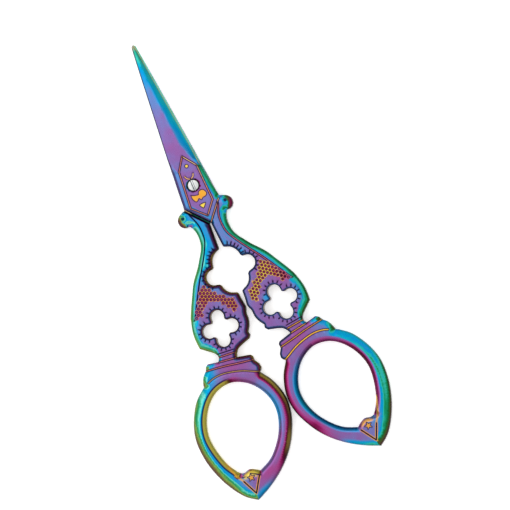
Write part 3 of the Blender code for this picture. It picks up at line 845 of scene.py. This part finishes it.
def build_half(side, bore, counterbore, material):
    """One half in place, riding on its body and standing for its CAD node."""
    points, triangles, distance, values = plan(side, bore, counterbore)
    tops, bottoms, above, below = heights(points, distance, values, counterbore, side)
    mesh, rim, outward, rows = closed_mesh(f"{side}_half_casting", points, triangles, tops[1], bottoms[1])
    faces = []
    for height, engraving in ((tops[0], above), (THICKNESS - bottoms[0], below)):
        place, shade, edge_shade = film(points, surface_slopes(points, triangles, height), values, side)
        dark = np.maximum(engraving.groove_and_shade, edge_shade)
        faces.append([place + engraving.tint, shade, engraving.gilt, dark, engraving.warmth])
    colour_blade(points, distance, *faces)
    place, shade, edge_shade = film(points[rim], outward, values[rim], side)
    # The walls take the film's colour, its painted shade and its dark edges for their outward direction
    walls = [place, shade, 0 * edge_shade, edge_shade, 0 * edge_shade]
    for name, over, under, beside in zip(("film", "shade", "gilt", "groove_and_shade", "warmth"), *faces, walls):
        attribute = mesh.attributes.new(name, "FLOAT", "POINT")
        numbers = np.concatenate([over, under] + [beside] * rows)
        attribute.data.foreach_set("value", numbers.astype(np.float32))
    if side == "back":
        mesh.transform(Matrix.Translation((0, 0, THICKNESS * MM)) @ Matrix.Rotation(math.pi, 4, "Y"))
    piece = placed(f"{side}_half_casting", mesh)
    mesh.materials.append(material)
    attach(piece, side)
    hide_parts(f"{side}_half")


# ---- materials

def linear(colour):
    """A colour from 0-255 screen values to the renderer's linear values."""
    shares = [value / 255 for value in colour]
    return tuple(s / 12.92 if s <= 0.04045 else ((s + 0.055) / 1.055) ** 2.4 for s in shares) + (1,)


class Nodes:
    """A material's node tree, with short ways to add nodes and to fill their inputs."""

    def __init__(self, name):
        self.material = bpy.data.materials.new(name)
        self.material.use_nodes = True
        self.tree = self.material.node_tree
        self.shader = self.tree.nodes["Principled BSDF"]

    def fill(self, node, inputs):
        """Gives the node's inputs plain values, or joins other nodes' outputs to them."""
        for name, value in inputs.items():
            if isinstance(value, bpy.types.NodeSocket):
                self.tree.links.new(value, node.inputs[name])
            else:
                node.inputs[name].default_value = value

    def add(self, kind, inputs, **settings):
        node = self.tree.nodes.new(kind)
        for name, value in settings.items():
            setattr(node, name, value)
        self.fill(node, inputs)
        return node

    def attribute(self, name):
        return self.add("ShaderNodeAttribute", {}, attribute_name=name).outputs["Fac"]

    def own_place(self):
        return self.add("ShaderNodeTexCoord", {}).outputs["Object"]

    def noise(self, scale, detail, stretch=(1, 1, 1)):
        place = self.add("ShaderNodeMapping", {"Vector": self.own_place(), "Scale": stretch})
        inputs = {"Vector": place.outputs["Vector"], "Scale": scale, "Detail": detail}
        return self.add("ShaderNodeTexNoise", inputs).outputs["Fac"]

    def span(self, value, low, high, to_low, to_high):
        inputs = {"Value": value, "From Min": low, "From Max": high, "To Min": to_low, "To Max": to_high}
        return self.add("ShaderNodeMapRange", inputs).outputs["Result"]

    def math(self, operation, *values):
        return self.add("ShaderNodeMath", dict(enumerate(values)), operation=operation).outputs["Value"]

    def colours(self, value, stops):
        """A colour ramp through (place, colour) stops."""
        node = self.add("ShaderNodeValToRGB", {"Fac": value})
        elements = node.color_ramp.elements
        for element, (place, colour) in zip(elements, (stops[0], stops[-1])):
            element.position, element.color = place, linear(colour)
        for place, colour in stops[1:-1]:
            elements.new(place).color = linear(colour)
        return node.outputs["Color"]

    def mix(self, share, first, second, blend="MIX"):
        inputs = {0: share, 6: first, 7: second}
        return self.add("ShaderNodeMix", inputs, data_type="RGBA", blend_type=blend).outputs[2]

    def bump(self, height, strength):
        """Bumps of 0.02 mm on the shader."""
        inputs = {"Height": height, "Strength": strength, "Distance": 0.02 * MM}
        self.fill(self.shader, {"Normal": self.add("ShaderNodeBump", inputs).outputs["Normal"]})


FILM_LOW, FILM_HIGH = -1.3, 1.5
INWARD_COLOURS = [
    (-1.30, (170, 160, 66)), (-1.10, (146, 126, 48)), (-0.92, (102, 74, 34)), (-0.75, (75, 25, 30)),
    (-0.58, (104, 16, 58)), (-0.42, (148, 34, 98)), (-0.26, (162, 68, 134)), (-0.12, (148, 82, 146)),
    (0.00, (132, 94, 158)), (0.12, (106, 120, 182)), (0.24, (58, 140, 198)), (0.38, (6, 144, 204)),
]
OUTWARD_COLOURS = {
    "front": [(0.50, (16, 166, 190)), (0.60, (54, 182, 164)), (0.70, (24, 144, 100)), (0.84, (22, 96, 42)),
              (1.00, (70, 84, 42)), (1.15, (86, 62, 54)), (1.32, (96, 50, 56)), (1.50, (110, 28, 66))],
    "back": [(0.50, (16, 168, 190)), (0.58, (112, 208, 190)), (0.67, (64, 176, 132)), (0.76, (34, 140, 84)),
             (0.86, (128, 172, 84)), (1.00, (118, 120, 58)), (1.16, (114, 86, 64)), (1.50, (96, 56, 60))],
}
# Colours of the gilding and of the painted glints, by warmth
GILT_AND_GLINT_COLOURS = [(0, (238, 214, 84)), (0.15, (228, 186, 62)), (0.3, (226, 156, 54)),
                (0.42, (222, 128, 58)), (0.55, (234, 198, 140)), (0.68, (216, 150, 112)),
                (0.8, (206, 118, 104)), (1, (186, 82, 108))]
SHADED = linear((120, 110, 128))
# Dark colour of the grooves and of the painted shade on steep edges, round the screw head and at the
# shoulder
GROOVE_AND_SHADE_COLOURS = {"front": linear((34, 14, 44)), "back": linear((18, 14, 52))}


def coating(name, side):
    """Polished steel under an iridescent film whose colours run with the slope of the surface, darkened by
    painted shade on steep faces and edges.
    """
    nodes = Nodes(name)
    cloudy = nodes.span(nodes.noise(260, 3), 0.3, 0.7, -0.05, 0.05)
    place = nodes.math("ADD", nodes.attribute("film"), cloudy)
    span = FILM_HIGH - FILM_LOW
    stops = [((at - FILM_LOW) / span, colour) for at, colour in INWARD_COLOURS + OUTWARD_COLOURS[side]]
    colour = nodes.colours(nodes.span(place, FILM_LOW, FILM_HIGH, 0, 1), stops)
    colour = nodes.mix(nodes.attribute("shade"), colour, SHADED, "MULTIPLY")
    gilding_and_glint = nodes.colours(nodes.math("ADD", nodes.attribute("warmth"), cloudy), GILT_AND_GLINT_COLOURS)
    colour = nodes.mix(nodes.attribute("gilt"), colour, gilding_and_glint)
    # Dark grooves, and painted shade on steep edges, in the counterbore and at the shoulder
    colour = nodes.mix(nodes.attribute("groove_and_shade"), colour, GROOVE_AND_SHADE_COLOURS[side])
    polish = nodes.span(nodes.noise(900, 4, (1, 0.25, 1)), 0.3, 0.7, 0.2, 0.32)
    roughness = nodes.math("ADD", polish, nodes.math("MULTIPLY", nodes.attribute("groove_and_shade"), 0.25))
    nodes.fill(nodes.shader, {"Base Color": colour, "Metallic": 1, "Roughness": roughness})
    nodes.bump(nodes.noise(2600, 3, (1, 0.3, 1)), 0.12)
    return nodes.material


def turned_steel():
    """Bare steel with the fine rings that facing it in a lathe leaves."""
    nodes = Nodes("turned_steel")
    inputs = {"Vector": nodes.own_place(), "Scale": 3200, "Distortion": 1.2}
    rings = nodes.add("ShaderNodeTexWave", inputs, wave_type="RINGS", rings_direction="Z").outputs["Fac"]
    tone = nodes.colours(nodes.noise(900, 3), [(0.3, (196, 200, 204)), (0.7, (226, 226, 222))])
    # Painted shade: dark beside the middle of the slot; this also darkens the rest of the screw below its
    # face
    place = nodes.add("ShaderNodeSeparateXYZ", {"Vector": nodes.own_place()})
    aside = nodes.span(nodes.math("ABSOLUTE", place.outputs["X"]), 0.15 * MM, 0.18 * MM, 0, 1)
    sunk = nodes.span(place.outputs["Z"], (HEAD_TOP - 0.2) * MM, (HEAD_TOP - 0.12) * MM, 1, 0)
    tone = nodes.mix(nodes.math("MULTIPLY", aside, sunk), tone, linear((26, 26, 36)))
    roughness = nodes.span(rings, 0, 1, 0.2, 0.34)
    nodes.fill(nodes.shader, {"Base Color": tone, "Metallic": 1, "Roughness": roughness})
    nodes.bump(rings, 0.15)
    return nodes.material


def matte_white():
    """The floor: matte, with a barely visible grain."""
    nodes = Nodes("floor_paper")
    tone = nodes.colours(nodes.noise(40, 2), [(0.3, (246, 246, 246)), (0.7, (250, 250, 250))])
    nodes.fill(nodes.shader, {"Base Color": tone, "Roughness": 0.9, "Specular IOR Level": 0.1})
    nodes.fill(nodes.shader, {"Emission Color": (1, 1, 1, 1), "Emission Strength": FLOOR_GLOW})
    return nodes.material


# ---- the pivot screw

SCREW_SEGMENTS = 96
THREAD_START_Z = 0.15
THREAD_ROWS = 27


def screw_profile():
    """The screw from its end to its face, as (radius, height) rows."""
    rows = [(0.2, 0), (0.8, 0), (0.9, 0.08)]
    rows += [(THREAD_RADIUS, THREAD_START_Z + THREAD_PITCH / 8 * i) for i in range(THREAD_ROWS)]
    rows += [(0.8, SCREW_SHOULDER_Z - 0.05), (0.8, SCREW_SHOULDER_Z)]
    rows += [(SCREW_SHOULDER_RADIUS, SCREW_SHOULDER_Z), (SCREW_SHOULDER_RADIUS, HEAD_UNDERSIDE)]
    rows += [(HEAD_RADIUS - 0.05, HEAD_UNDERSIDE), (HEAD_RADIUS, HEAD_UNDERSIDE + 0.05)]
    for i in range(6):
        turn = math.pi / 2 * i / 5
        rows.append((HEAD_RADIUS - 0.18 * (1 - math.cos(turn)), HEAD_TOP - 0.24 + 0.16 * math.sin(turn)))
    return rows + [(radius, HEAD_TOP - 0.08 * (radius / HEAD_RADIUS) ** 2) for radius in (1.1, 0.6, 0.2)]


def screw_body():
    """The turned screw, with a helical thread and no slot yet."""
    rows = screw_profile()
    vertices = []
    for row_radius, z in rows:
        for i in range(SCREW_SEGMENTS):
            angle = 2 * math.pi * i / SCREW_SEGMENTS
            radius = row_radius
            if row_radius == THREAD_RADIUS:
                along = (z / THREAD_PITCH - angle / (2 * math.pi)) % 1
                radius -= THREAD_DEPTH * abs(2 * along - 1)
            vertices.append((radius * math.cos(angle) * MM, radius * math.sin(angle) * MM, z * MM))
    faces = [tuple(range(SCREW_SEGMENTS))[::-1]]
    for row in range(len(rows) - 1):
        for i in range(SCREW_SEGMENTS):
            a, b = row * SCREW_SEGMENTS + i, row * SCREW_SEGMENTS + (i + 1) % SCREW_SEGMENTS
            faces.append((a, b, b + SCREW_SEGMENTS, a + SCREW_SEGMENTS))
    faces.append(tuple((len(rows) - 1) * SCREW_SEGMENTS + i for i in range(SCREW_SEGMENTS)))
    return new_mesh("screw_body", vertices, faces)


def slot_cutter():
    """The block that cuts the slot across the screw's face."""
    aside, reach = SLOT_WIDTH / 2 * MM, 2 * HEAD_RADIUS * MM
    low, high = (HEAD_TOP - SLOT_DEPTH) * MM, (HEAD_TOP + SLOT_DEPTH) * MM
    corners = [(x, y, z) for x in (-aside, aside) for y in (-reach, reach) for z in (low, high)]
    sides = [(0, 1, 3, 2), (4, 6, 7, 5), (0, 4, 5, 1), (2, 3, 7, 6), (0, 2, 6, 4), (1, 5, 7, 3)]
    return new_mesh("slot", corners, sides)


def pivot_screw(material):
    """The screw with a slot whose edges are broken."""
    piece, cutter = placed("slotted_pivot_screw", screw_body()), placed("slot", slot_cutter())
    cut = piece.modifiers.new("slot", "BOOLEAN")
    cut.object, cut.operation, cut.solver = cutter, "DIFFERENCE", "EXACT"
    worn = piece.modifiers.new("worn", "BEVEL")
    worn.width, worn.segments, worn.limit_method, worn.angle_limit = 0.04 * MM, 2, "ANGLE", math.radians(40)
    bpy.context.view_layer.update()
    finished = bpy.data.meshes.new_from_object(piece.evaluated_get(bpy.context.evaluated_depsgraph_get()))
    piece.modifiers.clear()
    piece.data = finished
    bpy.data.objects.remove(cutter)
    finished.name = "slotted_pivot_screw"
    finished.shade_smooth()
    finished.set_sharp_from_angle(angle=math.radians(30))
    finished.materials.clear()
    finished.materials.append(material)
    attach(piece, "back")
    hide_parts("pivot_screw")


# ---- stage, light and camera

# The floor's size and height, in metres
FLOOR_REACH = 3
FLOOR_Z = -0.00005
FLOOR_GLOW = 0.45
TENT_TOP = 1
TENT_WALL = 0.78
SOFT_BOX_POWER = 0.6


def stage():
    """A plain pale floor just under the scissors."""
    corners = [(x * FLOOR_REACH, y * FLOOR_REACH, FLOOR_Z) for x, y in ((-1, -1), (1, -1), (1, 1), (-1, 1))]
    floor = placed("floor", new_mesh("floor", corners, [(0, 1, 2, 3)]))
    floor.data.materials.append(matte_white())


def soft_box():
    """One large soft light over the scissors."""
    light = bpy.data.lights.new("soft_box", "AREA")
    light.shape, light.size, light.size_y = "RECTANGLE", 0.7, 0.5
    light.energy = SOFT_BOX_POWER
    lamp = placed("soft_box", light)
    lamp.location = (-0.25, 0.3, 0.8)
    target = Vector((0, -0.02, 0))
    lamp.rotation_euler = (target - lamp.location).to_track_quat("-Z", "Y").to_euler()


def tent():
    """A white tent all round, a little darker near the floor."""
    world = bpy.data.worlds.new("tent")
    bpy.context.scene.world = world
    world.use_nodes = True
    nodes, join = world.node_tree.nodes, world.node_tree.links.new
    direction_parts = nodes.new("ShaderNodeSeparateXYZ")
    wall = nodes.new("ShaderNodeValToRGB")
    for stop, height, tone in zip(wall.color_ramp.elements, (0.05, 0.4), (TENT_WALL, TENT_TOP)):
        stop.position, stop.color = height, (tone, tone, tone, 1)
    join(nodes.new("ShaderNodeTexCoord").outputs["Generated"], direction_parts.inputs["Vector"])
    join(direction_parts.outputs["Z"], wall.inputs["Fac"])
    join(wall.outputs["Color"], nodes["Background"].inputs["Color"])


VIEW_DISTANCE = 1000
VIEW_WIDTH = 138.46
VIEW_TARGET = (7.645, -24.176, 1.6)
VIEW_LEAN_X = 8
VIEW_LEAN_Y = 5
VIEW_ROLL = 23.68
SENSOR = 36


def camera():
    """Nearly overhead, leaning a little to the right and to the bows, with the tips up to the left."""
    back = Vector((math.sin(math.radians(VIEW_LEAN_X)), -math.sin(math.radians(VIEW_LEAN_Y)), 0))
    back.z = math.sqrt(1 - back.x**2 - back.y**2)
    right = Vector((0, 1, 0)).cross(back).normalized()
    up = back.cross(right)
    roll = math.radians(VIEW_ROLL)
    right, up = right * math.cos(roll) - up * math.sin(roll), right * math.sin(roll) + up * math.cos(roll)
    data = bpy.data.cameras.new("camera")
    data.sensor_width = SENSOR
    data.lens = SENSOR * VIEW_DISTANCE / VIEW_WIDTH
    data.clip_end = 10
    view = placed("camera", data)
    place = (Vector(VIEW_TARGET) + back * VIEW_DISTANCE) * MM
    view.matrix_world = Matrix.Translation(place) @ Matrix((right, up, back)).transposed().to_4x4()
    bpy.context.scene.camera = view


build_half("front", BORE_RADIUS, COUNTERBORE_RADIUS, coating("front_iridescent_coating", "front"))
build_half("back", THREADED_HOLE_RADIUS, 0, coating("back_iridescent_coating", "back"))
pivot_screw(turned_steel())
stage()
tent()
soft_box()
camera()
bpy.context.scene.view_settings.view_transform = "Standard"
